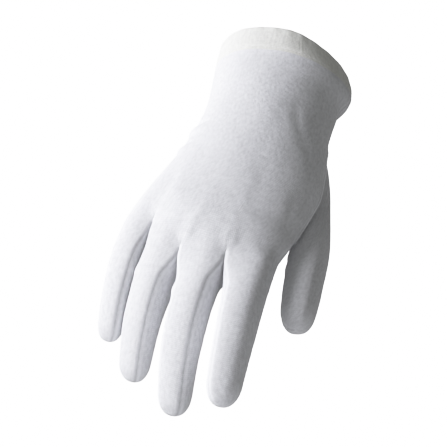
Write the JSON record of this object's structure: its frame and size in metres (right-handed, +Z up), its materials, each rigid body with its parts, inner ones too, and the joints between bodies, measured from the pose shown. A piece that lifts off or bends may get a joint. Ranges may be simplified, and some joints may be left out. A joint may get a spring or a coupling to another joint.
{
  "type": "cotton work glove",
  "caption": "White knitted cotton work glove for the right hand, in its worn form, hollow and open at the wrist.",
  "frame": {"origin": "middle of the wrist opening, in the plane of its rim, where the hand goes in", "axes": "+Z up the forearm, out of the wrist opening; +X to the thumb side; -Y out of the back of the hand"},
  "size_m": [0.1144, 0.0776, 0.2292],
  "materials": {
    "cotton": "fine white jersey knit, matt and slightly fuzzy",
    "hem_cotton": "fine white jersey knit folded over once, with a stitched edge"
  },
  "bodies": {
    "root": {"back_panel": "cotton", "palm_panel": "cotton", "side_strip_little_ring": "cotton", "side_strip_ring_middle": "cotton", "side_strip_middle_first": "cotton", "thumb": "cotton", "wrist_hem": "hem_cotton"}
  },
  "joints": []
}
